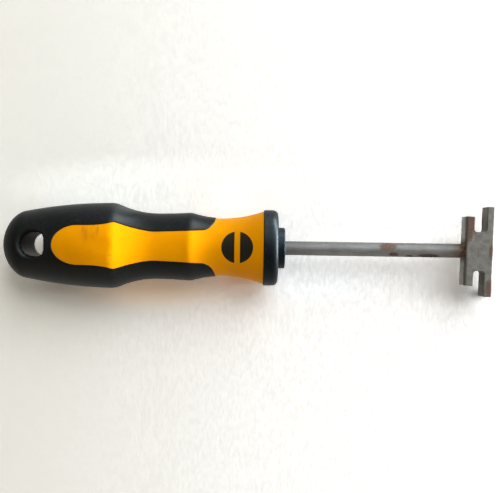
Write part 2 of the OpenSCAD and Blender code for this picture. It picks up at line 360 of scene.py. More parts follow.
rough_rim = cut.math("MULTIPLY_ADD", cut.noise(1.1, 5.0, 0.7, shift=6), 1.4, -0.7)
rust = 0.0
rust_spots = [
    ((198.2, 12.0, 19.2), (3.2, 6.4, 5.5)),
    ((197.4, 7.4, 19.2), (2.2, 4.2, 3.0)),
    ((206.9, -0.4, 19.0), (1.1, 3.4, 4.0)),
    ((206.3, -16.0, 18.6), (1.9, 4.6, 3.4)),
    ((200.6, -9.4, 19.2), (1.2, 1.6, 2.4)),
    ((196.0, 0.0, 15.2), (1.4, 4.4, 5.0)),
    ((204.0, 13.0, 11.6), (2.0, 4.0, 2.5)),
]
for (u, y, z), size in rust_spots:
    reach = cut.math("ADD", cut.reach((along(u), y, z), size), rough_rim)
    place = cut.ease(reach, 0.5, 1.2, 1.0, 0.0)
    rust = cut.math("MAXIMUM", rust, place)
rust_grain = cut.ease(fine, 0.35, 0.65)
red = cut.mix(rust_grain, shade(0.05, 0.026, 0.018), shade(0.165, 0.078, 0.05))
colour = cut.mix(cut.times(rust, 0.9), colour, red)

from_joint = cut.vector("SUBTRACT", cut.place, (along(HEAD_PLACE), 0, 0))
in_plate = cut.parts(from_joint)
from_rod_side = cut.math("MULTIPLY_ADD", in_plate[1], -math.tan(PLATE_LEAN), in_plate[0])
# painted light: the wall on the rod's side is painted paler than the faces
painted_light_on_wall = cut.ease(from_rod_side, 0.12, 0.3, 1.0, 0.0)
clear_of_rod = cut.ease(cut.math("ABSOLUTE", in_plate[1]), 3.8, 6.2)
painted_light_on_wall = cut.times(painted_light_on_wall, clear_of_rod)
painted_light_on_wall = cut.times(painted_light_on_wall, cut.ease(mottle, 0.3, 0.6, 0.5, 0.8))
colour = cut.mix(painted_light_on_wall, colour, shade(0.42, 0.42, 0.385))

# a dark line along the upper edge of that wall
rim = cut.ease(cut.math("ABSOLUTE", from_rod_side), 0.5, 1.15, 0.8, 0.0)
rim = cut.times(rim, cut.ease(in_plate[2], 16.2, 18.4))
colour = cut.mix(rim, colour, shade(0.05, 0.036, 0.028))

specks = cut.ease(cut.noise(1.9, 3.0, 0.6, shift=27), 0.64, 0.72, 0.0, 0.55)
colour = cut.mix(specks, colour, shade(0.13, 0.085, 0.055))
relief = cut.bump(cut.noise(2.8, 4.0, 0.65, shift=8), 0.03)
relief = cut.bump(cut.noise(3.0, 2.0, stretch=(1, 1, 0.12), shift=5), 0.02, relief)
relief = cut.bump(rust, 0.07, relief)
cut.set(Base_Color=colour, Normal=relief)
cut.set(Metallic=cut.ease(rust, 0.0, 1.0, 0.6, 0.1))
cut.set(Roughness=cut.ease(rust, 0.0, 1.0, 0.56, 0.85))

bronze = Finish("braze", Metallic=0.6, Roughness=0.55)
flow = bronze.ease(bronze.noise(0.9, 4.0, 0.6), 0.35, 0.65)
colour = bronze.mix(flow, shade(0.055, 0.032, 0.021), shade(0.17, 0.105, 0.055))
ripples = bronze.bump(bronze.noise(1.8, 4.0, 0.6, shift=2), 0.12)
bronze.set(Base_Color=colour, Normal=ripples)
print("cut steel:", len(cut.tree.nodes), "nodes")

# %% [markdown]
# ## The handle's curves
#
# The handle's side is a chain of short curves between six places: tail, bulge, waist, finger stop, neck and
# flare. They are the curves of the solid model, with the stop's crest a little further forward. The solid
# has sharp crests at the bulge and the stop; on the real moulding these are eased, so each half width is
# averaged over a short stretch, a longer one at the bulge.

# %% Curves of the handle
TAIL = (10.0, 14.2)
BULGE = (47.6, 17.9)
WAIST = (65.0, 13.7)
STOP = (79.7, 14.3)
NECK = (92.0, 12.25)
FLARE = (110.4, 15.55)
TAIL_ROUND = 9.0
REST_WIDTH = 6.0
OVAL = 2 * AXIS_HEIGHT / math.sqrt((2 * BULGE[1]) ** 2 - REST_WIDTH**2)
BULGE_EASE = 2.3
STOP_EASE = 1.7
PANEL_EASE = 1.2


def bow(u, a, b, power=2.0):
    return a[1] + (b[1] - a[1]) * np.abs((u - a[0]) / (b[0] - a[0])) ** power


def rounded(d, length):
    return np.sqrt(1 - (1 - np.clip(d / length, 0, 1)) ** 2)


def flank(u):
    spans = [u < BULGE[0], u < WAIST[0], u < STOP[0], u < NECK[0]]
    curves = [bow(u, BULGE, TAIL), bow(u, WAIST, BULGE), bow(u, WAIST, STOP), bow(u, NECK, STOP)]
    return np.select(spans, curves, bow(u, NECK, FLARE))


def eased(curve, u, reach):
    """Mean of a curve over a short stretch round u, in which the middle counts most."""
    shifts = np.linspace(-1, 1, 13)
    weights = 1 - np.abs(shifts) / 1.15
    return sum(w * curve(u + s * reach) for w, s in zip(weights, shifts)) / weights.sum()


def half_width(u):
    u = np.asarray(u, float)
    reach = np.interp(u, (WAIST[0] - 5, WAIST[0] + 5), (BULGE_EASE, STOP_EASE))
    return eased(flank, u, reach) * rounded(u, TAIL_ROUND)


print("half widths:", np.round(half_width([10, 47.6, 65, 79, 92, 110]), 2))

# %% Edge of the bare panel
PANEL_REAR = 23.3
PANEL_ROUND = 10.5
STRIP_TIP = 90.0
STRIP_ROUND = 5.5
PANEL_START = (PANEL_REAR + PANEL_ROUND, 8.2)
PANEL_BULGE = (BULGE[0] + 1.0, 9.7)
PANEL_WAIST = (WAIST[0], 6.0)
PANEL_STOP = (STRIP_TIP - STRIP_ROUND, 6.8)


def panel_curve(u):
    spans = [u < PANEL_START[0], u < PANEL_BULGE[0], u < WAIST[0]]
    curves = [
        np.full_like(u, PANEL_START[1]),
        bow(u, PANEL_START, PANEL_BULGE, 3),
        bow(u, PANEL_WAIST, PANEL_BULGE, 1.6),
    ]
    return np.select(spans, curves, bow(u, PANEL_WAIST, PANEL_STOP, 1))


def panel_edge(u):
    """Distance of the panel's edge from the centre line; at the tip of the strip it meets the flank."""
    u = np.asarray(u, float)
    edge = eased(panel_curve, u, PANEL_EASE) * rounded(u - PANEL_REAR, PANEL_ROUND)
    turn = np.arcsin(np.clip((u - PANEL_STOP[0]) / STRIP_ROUND, 0, 1))
    rise = half_width(STRIP_TIP) - PANEL_STOP[1]
    return np.minimum(edge + rise * (1 - np.cos(turn)), half_width(u))


print("panel half widths:", np.round(panel_edge([30, 48.6, 65, 84.5, 90]), 2))

# %% Surface of the handle
def surface_point(u, turn, proud=0.0):
    """Points of the oval handle at the given turn from its +Y flank, raised along the surface normal."""
    r = half_width(u)
    y = r * np.cos(turn)
    z = OVAL * r * np.sin(turn)
    step = 0.02
    slope = (half_width(u + step) ** 2 - half_width(np.maximum(u - step, 0)) ** 2) / (4 * step)
    normal = np.stack(np.broadcast_arrays(-slope, y, z / OVAL**2), -1)
    length = np.linalg.norm(normal, axis=-1, keepdims=True)
    normal = np.where(length > 1e-9, normal / np.maximum(length, 1e-9), (-1.0, 0.0, 0.0))
    point = np.stack(np.broadcast_arrays(u, y, z), -1)
    return point + normal * np.asarray(proud)[..., None]


def surface_height(u, y):
    return OVAL * np.sqrt(np.maximum(half_width(u) ** 2 - y**2, 0))


def tail_places(steps):
    return TAIL_ROUND * (1 - np.cos(np.linspace(0, math.pi / 2, steps)))


def edge_places(rear, middle, tip):
    """Places along the panel's edge, set closer where the edge turns."""
    return np.concatenate([
        PANEL_REAR + PANEL_ROUND * (1 - np.cos(np.linspace(0, math.pi / 2, rear))),
        np.linspace(PANEL_START[0], PANEL_STOP[0], middle)[1:],
        PANEL_STOP[0] + STRIP_ROUND * np.sin(np.linspace(0, math.pi / 2, tip))[1:],
    ])


border_u = edge_places(90, 260, 90)
border_turn = np.arccos(np.clip(panel_edge(border_u) / half_width(border_u), 0, 1))
border = surface_point(border_u, border_turn)
border = np.concatenate([border * s for s in ((1, 1, 1), (1, -1, 1), (1, 1, -1), (1, -1, -1))])


def border_distance(points):
    """Distance of each point to the nearest edge between the yellow and the black."""
    nearest = np.empty(len(points))
    block = 2000
    for i in range(0, len(points), block):
        gap = points[i : i + block, None, :] - border[None, :, :]
        nearest[i : i + block] = np.sqrt((gap**2).sum(-1).min(1))
    return nearest


print("border points:", len(border))

# %% [markdown]
# ## Turned forms with Geometry Nodes
#
# The body, collar, nose, rod and braze all follow one rule: a profile is turned about the tool's axis, and
# on the handle the result is flattened to an oval. One tree does that for all of them. It lays a grid with
# one row for each point of the profile and one column for each step of the turn, and moves every grid point
# to its place. Merging closes the seam and the poles.

# %% Tree that turns a profile
def build_turning_tree():
    tree = bpy.data.node_groups.new("turned_form", "GeometryNodeTree")
    sockets = {}
    inputs = {"Profile": "Geometry", "Steps Round": "Int", "Flattening": "Float"}
    for name, kind in {**inputs, "Axis Height": "Float", "Finish": "Material"}.items():
        made = tree.interface.new_socket(name, in_out="INPUT", socket_type="NodeSocket" + kind)
        sockets[name] = made.identifier
    tree.interface.new_socket("Form", in_out="OUTPUT", socket_type="NodeSocketGeometry")
    given = tree.nodes.new("NodeGroupInput").outputs

    def node(kind, inputs, **settings):
        return add_node(tree, "GeometryNode" + kind, inputs, **settings)

    def math_node(operation, a, b=0.0):
        return add_node(tree, "ShaderNodeMath", {0: a, 1: b}, operation=operation)[0]

    count = node("AttributeDomainSize", {"Geometry": given["Profile"]})["Point Count"]
    columns = math_node("ADD", given["Steps Round"], 1.0)
    grid = node("MeshGrid", {"Vertices X": count, "Vertices Y": columns})["Mesh"]
    index = node("InputIndex", {})["Index"]
    row = math_node("FLOOR", math_node("DIVIDE", index, columns))
    column = math_node("SUBTRACT", index, math_node("MULTIPLY", row, columns))
    position = node("InputPosition", {})["Position"]
    sample = {"Geometry": given["Profile"], "Value": position, "Index": row}
    sampled = node("SampleIndex", sample, data_type="FLOAT_VECTOR")["Value"]
    profile = add_node(tree, "ShaderNodeSeparateXYZ", {0: sampled})
    turn = math_node("DIVIDE", math_node("MULTIPLY", column, 2 * math.pi), given["Steps Round"])
    y = math_node("MULTIPLY", profile["Y"], math_node("COSINE", turn))
    rise = math_node("MULTIPLY", profile["Y"], math_node("SINE", turn))
    rise = math_node("MULTIPLY", rise, given["Flattening"])
    z = math_node("ADD", rise, given["Axis Height"])
    place = add_node(tree, "ShaderNodeCombineXYZ", {"X": profile["X"], "Y": y, "Z": z})[0]
    moved = node("SetPosition", {"Geometry": grid, "Position": place})[0]
    merged = node("MergeByDistance", {"Geometry": moved, "Distance": 1e-7})[0]
    smooth = node("SetShadeSmooth", {"Geometry": merged})[0]
    real = node("RealizeInstances", {"Geometry": smooth})[0]
    dressed = node("SetMaterial", {"Geometry": real, "Material": given["Finish"]})[0]
    tree.links.new(dressed, tree.nodes.new("NodeGroupOutput").inputs[0])
    return tree, sockets


turning_tree, turning_sockets = build_turning_tree()
print("turning tree:", len(turning_tree.nodes), "nodes")

# %% Helpers that make a piece
def new_piece(name, mesh):
    piece = bpy.data.objects.new(name, mesh)
    bpy.context.collection.objects.link(piece)
    return piece


def close_normals(mesh, merge=1e-7):
    bm = bmesh.new()
    bm.from_mesh(mesh)
    bmesh.ops.remove_doubles(bm, verts=bm.verts, dist=merge)
    bmesh.ops.recalc_face_normals(bm, faces=bm.faces)
    open_edges = sum(not e.is_manifold for e in bm.edges)
    bm.to_mesh(mesh)
    bm.free()
    return open_edges


def turned_piece(name, profile, finish, steps=96, flattening=1.0):
    """Turns (distance from the tail end, radius) points about the tool's axis."""
    line = bpy.data.meshes.new(name + "_profile")
    line.from_pydata([(along(u) * MM, r * MM, 0) for u, r in profile], [], [])
    maker = new_piece(name + "_maker", line)
    modifier = maker.modifiers.new("turn", "NODES")
    modifier.node_group = turning_tree
    given = {"Steps Round": steps, "Flattening": flattening, "Axis Height": AXIS_HEIGHT * MM}
    for socket, value in {**given, "Finish": finish.material}.items():
        modifier[turning_sockets[socket]] = value
    bpy.context.view_layer.update()
    mesh = bpy.data.meshes.new_from_object(maker.evaluated_get(bpy.context.evaluated_depsgraph_get()))
    mesh.name = name
    bpy.data.objects.remove(maker)
    open_edges = close_normals(mesh)
    print(name, "faces:", len(mesh.polygons), "open edges:", open_edges)
    return new_piece(name, mesh)


def corners(*points):
    """A profile from (distance, radius, easing) corners; each eased corner becomes a short curve."""
    shoulder = 0.12
    made = []
    for i, (u, r, ease) in enumerate(points):
        here = np.array((u, r), float)
        if not ease:
            made.append(tuple(here))
            continue
        back = np.array(points[i - 1][:2], float) - here
        ahead = np.array(points[(i + 1) % len(points)][:2], float) - here
        a = here + back / np.linalg.norm(back) * ease
        b = here + ahead / np.linalg.norm(ahead) * ease
        made.append(tuple(a + (a - here) * shoulder))
        for t in np.linspace(0, 1, 10):
            made.append(tuple((1 - t) ** 2 * a + 2 * t * (1 - t) * here + t**2 * b))
        made.append(tuple(b + (b - here) * shoulder))
    return made


def read_points(mesh):
    co = np.empty(len(mesh.vertices) * 3)
    mesh.vertices.foreach_get("co", co)
    co = co.reshape(-1, 3) / MM
    return co + (TOOL_LEN / 2, 0, -AXIS_HEIGHT)


def write_points(mesh, points):
    co = (points - (TOOL_LEN / 2, 0, -AXIS_HEIGHT)) * MM
    mesh.vertices.foreach_set("co", co.ravel())
    mesh.update()


print("piece helpers ready")

# %% [markdown]
# ## The hanging hole
#
# The hole goes through the grip, and an eye in the body lies round it. In a finished mesh a hole is opened
# in three moves: take away the faces near it, sew the ragged edge to a clean ring of points on the same
# surface, and carry that ring down the wall to the other side. The grip's hole isn't quite round: it is
# squarer towards the panel, and its mouth opens wider towards the tail.

# %% Helper that opens the hole
HOLE_X = along(HOLE_PLACE) * MM
HOLE_SQUARENESS = 3.4
EYE_RADIUS = 7.4
MOUTH_REACH = 2.6
MOUTH_DEPTH = 3.0
MOUTH_LEAN = 0.38
SEAM_MARGIN = 0.35
SEAM_REACH = 2.4


def mouth_edge(turn, radius):
    """Reach of the squarer edge at the given turn, for a ring of the given radius in the mouth."""
    power = HOLE_SQUARENESS if math.cos(turn) > 0 else 2.0
    wall = (abs(math.cos(turn)) ** power + abs(math.sin(turn)) ** power) ** (-1 / power)
    return HOLE_RADIUS * wall + (radius - HOLE_RADIUS) * (1 - MOUTH_LEAN * (1 + math.cos(turn)))


def ragged_loop(bm, side, reach):
    """The open edge that runs round the hole on one side, as vertices in order, counter-clockwise."""

    def near(v):
        return math.hypot(v.co.x - HOLE_X, v.co.y) < reach and (v.co.z - AXIS_HEIGHT * MM) * side > 0

    edges = [e for e in bm.edges if e.is_boundary and all(near(v) for v in e.verts)]
    links = {}
    for e in edges:
        for v in e.verts:
            links.setdefault(v, []).append(e.other_vert(v))
    start = edges[0].verts[0]
    loop = [start]
    previous, here = None, start
    while True:
        ahead = [v for v in links[here] if v is not previous][0]
        if ahead is start:
            break
        loop.append(ahead)
        previous, here = here, ahead
    area = sum(a.co.x * b.co.y - b.co.x * a.co.y for a, b in zip(loop, loop[1:] + loop[:1]))
    return loop if area > 0 else loop[::-1]


def turns_round_hole(loop):
    return np.unwrap([math.atan2(v.co.y, v.co.x - HOLE_X) for v in loop])


def sew(bm, outer, ring):
    """Fills the gap between two loops with triangles, stepping along the loop that lags in its turn."""
    first = min(range(len(ring)), key=lambda k: (ring[k].co - outer[0].co).length)
    ring = ring[first:] + ring[: first + 1]
    outer = outer + outer[:1]
    outer_turn, ring_turn = turns_round_hole(outer), turns_round_hole(ring)
    ring_turn += 2 * math.pi * round((outer_turn[0] - ring_turn[0]) / (2 * math.pi))
    i = j = 0
    while i < len(outer) - 1 or j < len(ring) - 1:
        ring_done, outer_done = j == len(ring) - 1, i == len(outer) - 1
        if ring_done or (not outer_done and outer_turn[i + 1] < ring_turn[j + 1]):
            bm.faces.new((outer[i], outer[i + 1], ring[j]))
            i += 1
        else:
            bm.faces.new((outer[i], ring[j + 1], ring[j]))
            j += 1


def join_rings(bm, rings):
    for a, b in zip(rings, rings[1:]):
        for k in range(len(a)):
            bm.faces.new((a[k - 1], a[k], b[k], b[k - 1]))


def open_hole(bm, skin, mouth, height_at, edge=lambda turn, radius: radius, steps=112):
    """Opens the hole in one skin: a mouth of (radius, depth below the surface) rings, and a wall."""
    number = bm.faces.layers.int["skin"]

    def in_reach(v):
        turn = math.atan2(v.co.y, v.co.x - HOLE_X)
        return math.hypot(v.co.x - HOLE_X, v.co.y) < (edge(turn, mouth[0][0]) + SEAM_MARGIN) * MM

    ends = []
    for side in (1, -1):
        near = [
            f for f in bm.faces
            if f[number] == skin
            and any(in_reach(v) for v in f.verts)
            and (f.calc_center_median().z - AXIS_HEIGHT * MM) * side > 0
        ]
        bmesh.ops.delete(bm, geom=near, context="FACES")
        outer = ragged_loop(bm, side, (mouth[0][0] + SEAM_REACH) * MM)
        rings = []
        for radius, depth in mouth:
            ring = []
            for k in range(steps):
                a = 2 * math.pi * k / steps
                out = edge(a, radius)
                u, y = HOLE_PLACE + out * math.cos(a), out * math.sin(a)
                z = AXIS_HEIGHT + side * (float(height_at(u, y)) - depth)
                ring.append(bm.verts.new((along(u) * MM, y * MM, z * MM)))
            rings.append(ring)
        sew(bm, outer, rings[0])
        join_rings(bm, rings)
        ends.append(rings[-1])
    walls = [ends[0]]
    for share in np.linspace(0, 1, 16)[1:-1]:
        walls.append([bm.verts.new(a.co.lerp(b.co, share)) for a, b in zip(*ends)])
    walls.append(ends[1])
    join_rings(bm, walls)


print("hole helper ready")

# %% [markdown]
# ## Body
#
# The body is one turned and flattened form from the tail to the spigot inside the collar. Where the grip
# covers it, its surface dips by the wall of the grip, starting just outside the edge of the bare panel, so
# the two surfaces never fight. The crest of the bulge is flat over a few millimetres, above and below, and
# the tool lies on the lower flat.

# %% Body
COLLAR_REAR = 110.4
COLLAR_FRONT = 116.6
SPIGOT_RADIUS = 13.15
SPIGOT_FRONT = 115.0
BODY_DIP = 2.3
DIP_START = 0.7
DIP_REACH = 0.9
REST_SOFTNESS = 0.12
body_u = np.concatenate([tail_places(24), np.linspace(TAIL_ROUND, COLLAR_REAR - 0.35, 240)[1:]])
rim = COLLAR_REAR - 0.02
rim_radius = float(half_width(COLLAR_REAR)) - 0.02
profile = list(zip(body_u, half_width(body_u)))
profile += corners(
    (*profile[-1], 0), (rim, rim_radius, 0.2), (rim, SPIGOT_RADIUS, 0),
    (SPIGOT_FRONT, SPIGOT_RADIUS, 0), (SPIGOT_FRONT, 0, 0),
)[1:]
body = turned_piece("handle_body", profile, yellow, steps=176, flattening=OVAL)

points = read_points(body.data)
u, y = points[:, 0], points[:, 1]
covered = (u < PANEL_REAR) | ((u < STRIP_TIP) & (np.abs(y) > panel_edge(u)))
outside = np.where(covered, border_distance(points), 0.0)
dip = np.clip((outside - DIP_START) / DIP_REACH, 0, 1)
dip = BODY_DIP * dip * dip * (3 - 2 * dip)
turn = np.arctan2(points[:, 2] / OVAL, y)
on_handle = u < COLLAR_REAR - 0.3
points[on_handle] = surface_point(u[on_handle], turn[on_handle], -dip[on_handle])
below = (AXIS_HEIGHT - np.abs(points[:, 2])) / REST_SOFTNESS
flat = AXIS_HEIGHT - REST_SOFTNESS * np.log1p(np.exp(np.clip(below, -30, 30)))
points[:, 2] = np.where(below < 25, np.sign(points[:, 2]) * flat, points[:, 2])
write_points(body.data, points)

bm = bmesh.new()
bm.from_mesh(body.data)
skin_layer = bm.faces.layers.int.new("skin")
open_hole(bm, 0, [(EYE_RADIUS + 0.1, 0.0)], lambda u, y: surface_height(u, y) - BODY_DIP)
bm.faces.layers.int.remove(skin_layer)
bm.to_mesh(body.data)
bm.free()
print("body open edges:", close_normals(body.data))

# %% [markdown]
# ## Soft grip
#
# The grip is the one piece that doesn't follow the turning rule: a closed tail that runs forward in two
# strips. Each side is a grid with its columns measured from the edge of the bare panel, so that the edge is
# always a clean line of points. Behind the panel the two sides meet on the centre line. The surface stands
# a little proud of the yellow and rolls down to it over the last half millimetre.

# %% Rows and columns of the grip
PROUD = 0.3
EDGE_ROLL = 0.5
GRIP_WALL = 1.9
INNER_COLUMNS = 26
near_edge = np.array([0, 0.04, 0.1, 0.18, 0.28, 0.4, 0.55, 0.8, 1.2])
grip_u = np.concatenate([
    tail_places(26),
    np.linspace(TAIL_ROUND, PANEL_REAR - 1.5, 28)[1:],
    PANEL_REAR - near_edge[:0:-1],
    edge_places(40, 88, 28),
])
quarter = np.linspace(0, math.pi / 2, 400)
speed = np.hypot(np.sin(quarter), OVAL * np.cos(quarter))
girth = np.concatenate([[0], np.cumsum((speed[1:] + speed[:-1]) / 2 * np.diff(quarter))])


def grip_turns(u):
    """Turns of the columns from the upper edge of the strip down to the flank, at one row."""
    r = float(half_width(u))
    if r < 1e-6:
        return np.linspace(math.pi / 2, 0, len(near_edge) + INNER_COLUMNS)
    edge = math.acos(min(1.0, float(panel_edge(u)) / r)) if u > PANEL_REAR else math.pi / 2
    reach = r * np.interp(edge, quarter, girth)
    start = near_edge * min(1.0, reach / (2 * near_edge[-1]))
    inward = np.concatenate([start, np.linspace(start[-1], reach, INNER_COLUMNS + 1)[1:]])
    return np.interp((reach - inward) / r, girth, quarter)


upper = np.array([grip_turns(u) for u in grip_u])
turns = np.concatenate([upper, -upper[:, -2::-1]], axis=1)
rows, columns = turns.shape
places = np.repeat(grip_u[:, None], columns, 1)
base = surface_point(places, turns)
roll = np.clip(border_distance(base.reshape(-1, 3)).reshape(rows, columns) / EDGE_ROLL, 0, 1)
lift = PROUD * np.sqrt(1 - (1 - roll) ** 2)
layers = [surface_point(places, turns, lift), surface_point(places, turns, np.full_like(lift, -GRIP_WALL))]
print("grip grid:", rows, "rows,", columns, "columns")

# %% Grip mesh
bm = bmesh.new()
skin_layer = bm.faces.layers.int.new("skin")
first_edge = int(np.searchsorted(grip_u, PANEL_REAR - 1e-6))
for side in (1, -1):
    grids = []
    for skin, layer in enumerate(layers):
        made = (layer * (1, side, 1) + (along(0), 0, AXIS_HEIGHT)) * MM
        g = [[bm.verts.new(p) for p in row] for row in made]
        grids.append(g)
        for i in range(rows - 1):
            for j in range(columns - 1):
                face = bm.faces.new((g[i][j], g[i + 1][j], g[i + 1][j + 1], g[i][j + 1]))
                face[skin_layer] = skin
    outer, inner = grids
    for i in range(first_edge, rows - 1):
        for j in (0, columns - 1):
            bm.faces.new((outer[i][j], outer[i + 1][j], inner[i + 1][j], inner[i][j]))
bmesh.ops.remove_doubles(bm, verts=bm.verts, dist=1e-6)

curl = np.linspace(0, math.pi / 2, 12)
mouth = [(HOLE_RADIUS + MOUTH_REACH * (1 - math.sin(c)), MOUTH_DEPTH * (1 - math.cos(c))) for c in curl]
open_hole(bm, 0, mouth, lambda u, y: surface_height(u, y) + PROUD, mouth_edge)
open_hole(bm, 1, [(EYE_RADIUS - 0.1, 0.0)], lambda u, y: surface_height(u, y) - GRIP_WALL)
bm.faces.layers.int.remove(skin_layer)
mesh = bpy.data.meshes.new("soft_grip")
bm.to_mesh(mesh)
bm.free()
mesh.materials.append(rubber.material)
print("grip open edges:", close_normals(mesh))
mesh.shade_smooth()
grip = new_piece("soft_grip", mesh)
print("grip faces:", len(mesh.polygons))

# %% [markdown]
# ## Collar, nose, rod and braze
#
# These four are turned from short profiles with eased corners. The collar keeps a fine gap to the body, as
# the real joint does, and its front edge has a generous rounding. The rod's radius wavers by a hundredth of
# a millimetre, enough to break its reflections. The braze creeps along the rod and the plate unevenly.

# %% Collar
COLLAR_RADIUS = 16.15
COLLAR_EASE = 2.7
NOSE_RADIUS = 8.75
NOSE_FRONT = 119.5
collar_back = COLLAR_REAR + 0.06
collar_seat = SPIGOT_FRONT + 0.1
collar_bore = SPIGOT_RADIUS + 0.05
nose_bore = NOSE_RADIUS + 0.2
collar = turned_piece(
    "front_collar",
    corners(
        (collar_back, collar_bore, 0), (collar_back, COLLAR_RADIUS, 0.35),
        (COLLAR_FRONT, COLLAR_RADIUS, COLLAR_EASE), (COLLAR_FRONT, nose_bore, 0.15),
        (collar_seat, nose_bore, 0), (collar_seat, collar_bore, 0), (collar_back, collar_bore, 0),
    ),
    black, steps=176, flattening=OVAL,
)

# %% Nose
nose_back = SPIGOT_FRONT + 0.15
nose = turned_piece(
    "nose_core",
    corners(
        (nose_back, 0, 0), (nose_back, NOSE_RADIUS + 0.1, 0),
        (COLLAR_FRONT - 0.1, NOSE_RADIUS + 0.1, 0), (COLLAR_FRONT + 0.05, NOSE_RADIUS, 0.08),
        (NOSE_FRONT, NOSE_RADIUS - 0.05, 0.6), (NOSE_FRONT, 3.9, 0.15), (NOSE_FRONT - 0.6, 3.1, 0),
        (NOSE_FRONT - 0.6, 0, 0),
    ),
    navy, steps=128,
)

# %% Rod
ROD_RADIUS = 3.0
rod_u = np.linspace(COLLAR_FRONT - 0.5, HEAD_PLACE, 150)
waver = 0.012 * np.sin(rod_u * 0.9) * np.sin(rod_u * 0.23 + 1) + 0.006 * np.sin(rod_u * 2.7)
rod = turned_piece(
    "steel_rod",
    [(rod_u[0], 0.0), *zip(rod_u, ROD_RADIUS + waver), (HEAD_PLACE, 0.0)],
    steel, steps=96,
)

# %% Braze
BRAZE_LEG = 0.9
BRAZE_CREEP = 1.17
sweep = np.linspace(0, math.pi / 2, 14)
hollow_u = HEAD_PLACE - BRAZE_CREEP * (1 - np.sin(sweep))
hollow_r = ROD_RADIUS + BRAZE_LEG * (1 - np.cos(sweep))
bead_start = (hollow_u[0] - 0.1, ROD_RADIUS - 0.2)
bead_end = HEAD_PLACE + 0.02
braze = turned_piece(
    "braze_bead",
    [bead_start, *zip(hollow_u, hollow_r), (bead_end, ROD_RADIUS + BRAZE_LEG),
     (bead_end, ROD_RADIUS - 0.2), bead_start],
    bronze, steps=96,
)
points = read_points(braze.data)
angle = np.arctan2(points[:, 2], points[:, 1])
uneven = 1 + 0.28 * np.sin(angle * 3 + 0.6) + 0.18 * np.sin(angle * 7 + 2.0)
back = np.clip(HEAD_PLACE - points[:, 0], 0, None)
points[:, 0] -= back * (uneven - 1)
write_points(braze.data, points)

# %% [markdown]
# ## Slotted plate
#
# The head is a flat outline with thickness, so it is made the way it was cut: an outline with both slots, a
# push along Z, and a small bevel on every sharp edge. Before that the outline gets many more points, each
# moved by a few hundredths of a millimetre, because a hand-finished edge is never quite straight.

# %% Outline of the plate
PLATE_HALF = 4.0
PLATE_BEVEL = 0.32
SLOT_CENTRE = 6.1
WIDE_SLOT = 5.2
NARROW_SLOT = 4.5
HEAD_WIDTH = 11.6
WEB_HALF = 8.3
SHORT_HALF = 14.7
LONG_HALF = 19.1
SLOT_EASE = 1.2
POINT_STEP = 1.1
POINT_JITTER = 0.03


def slot_end(width, side):
    """Points down one wall of a slot, round its floor and up the other wall, from the rod's side."""
    left, right = SLOT_CENTRE - width / 2, SLOT_CENTRE + width / 2
    made = [(left, SHORT_HALF)]
    for centre, start in ((left + SLOT_EASE, 180), (right - SLOT_EASE, 270)):
        for a in np.radians(np.linspace(start, start + 90, 8)):
            made.append((centre + SLOT_EASE * math.cos(a), WEB_HALF + SLOT_EASE + SLOT_EASE * math.sin(a)))
    made.append((right, LONG_HALF))
    return [(x, y * side) for x, y in made]


outline = [(0, SHORT_HALF), *slot_end(WIDE_SLOT, 1), (HEAD_WIDTH, LONG_HALF)]
outline += [(HEAD_WIDTH, -LONG_HALF), *slot_end(NARROW_SLOT, -1)[::-1], (0, -SHORT_HALF)]
lean_x, lean_y = math.cos(PLATE_LEAN), math.sin(PLATE_LEAN)
outline = np.array(outline) @ np.array(((lean_x, -lean_y), (lean_y, lean_x)))
rng = np.random.default_rng(7)
worked = []
for a, b in zip(outline, np.roll(outline, -1, 0)):
    count = max(1, int(np.linalg.norm(b - a) / POINT_STEP))
    for k in range(count):
        jitter = rng.normal(0, POINT_JITTER, 2) if k else 0
        worked.append(a + (b - a) * k / count + jitter)
print("outline points:", len(worked))

# %% Plate
bm = bmesh.new()
lower = AXIS_HEIGHT - PLATE_HALF
face = bm.faces.new([bm.verts.new(Vector((along(HEAD_PLACE + x), y, lower)) * MM) for x, y in worked])
pushed = bmesh.ops.extrude_face_region(bm, geom=[face])["geom"]
top = [v for v in pushed if isinstance(v, bmesh.types.BMVert)]
bmesh.ops.translate(bm, verts=top, vec=(0, 0, 2 * PLATE_HALF * MM))
bmesh.ops.recalc_face_normals(bm, faces=bm.faces)
sharp = [e for e in bm.edges if e.calc_face_angle(0) > math.radians(40)]
bmesh.ops.bevel(bm, geom=sharp, offset=PLATE_BEVEL * MM, segments=3, profile=0.6, affect="EDGES")
for f in bm.faces:
    f.smooth = len(f.verts) <= 4
mesh = bpy.data.meshes.new("slotted_plate")
bm.to_mesh(mesh)
bm.free()
mesh.materials.append(cut.material)
plate = new_piece("slotted_plate", mesh)
print("plate faces:", len(mesh.polygons))

# %% [markdown]
# ## Attach the pieces
#
# Every piece rides on the tool's one body, and the solid that it covers is hidden; each row also lists the
# finish slot of the record that it belongs to.

# %% Attach
for piece, solid, finish_slot in (
    (body, "body", "yellow_plastic"),
    (grip, "grip", "black_rubber"),
    (collar, "collar", "black_plastic"),
    (nose, "core", "navy_plastic"),
    (rod, "shaft", "rod_steel"),
    (braze, "braze_fillet", "braze"),
    (plate, "head_plate", "plate_steel"),
):
    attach(piece, "root")
    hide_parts(solid)

# %% [markdown]
# ## Floor
#
# The tool doesn't lie level: it rests on its bulge and on its collar, so its head comes nearer to the
# sheet. The solid model keeps the tool's axis level, so here the sheet is tipped instead, until it touches
# both places. The camera sees the sheet whiter than the one that lights the tool, most of all towards the
# windows, a painted falloff of their light. Blots of another tone paint in what the room adds in the
# photograph: painted warm light below the handle, painted clear light behind the tool, beside the head,
# below the rod and through the hole, a painted cooler light above the neck, and painted shade by the tail,
# the flare and the lower prong.

